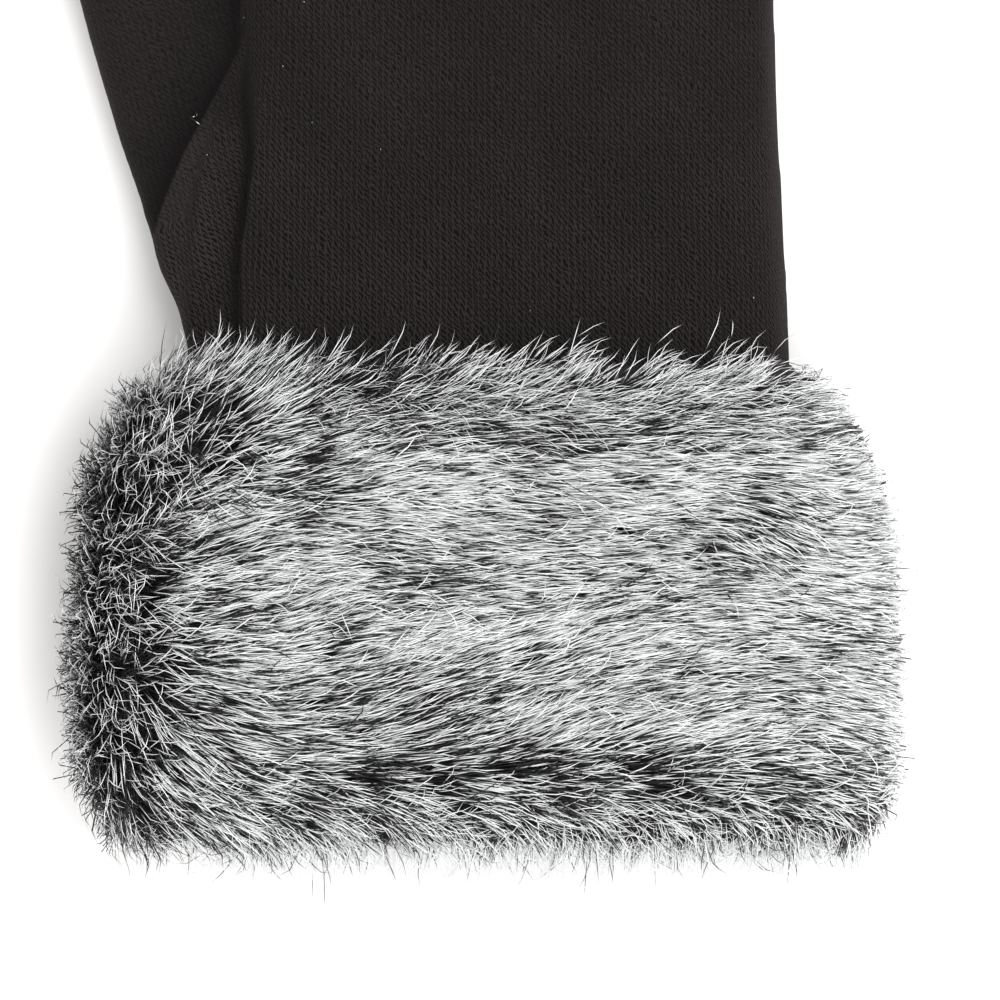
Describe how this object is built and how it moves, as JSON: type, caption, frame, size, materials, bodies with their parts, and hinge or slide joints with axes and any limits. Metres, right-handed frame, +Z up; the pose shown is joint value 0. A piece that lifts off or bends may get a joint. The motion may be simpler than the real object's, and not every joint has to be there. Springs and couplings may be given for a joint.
{
  "type": "fur-trimmed glove",
  "caption": "Knitted dress glove for the right hand, lying back up, with a deep fur cuff round the wrist and the hand open at the cuff.",
  "frame": {"origin": "on the surface that the glove rests on, under the middle of its whole outline", "axes": "+Z up out of the back of the hand, +Y from the wrist to the fingertips, +X towards the little finger"},
  "size_m": [0.1322, 0.251, 0.034],
  "materials": {
    "black_knit": "matt fine jersey, close to black with a trace of brown",
    "grey_fur": "deep fur, near-black at the root and silver-white at the tips"
  },
  "bodies": {
    "root": {"back_panel": "black_knit", "palm_panel": "black_knit", "thumb": "black_knit", "fur_cuff": "grey_fur"}
  },
  "joints": []
}
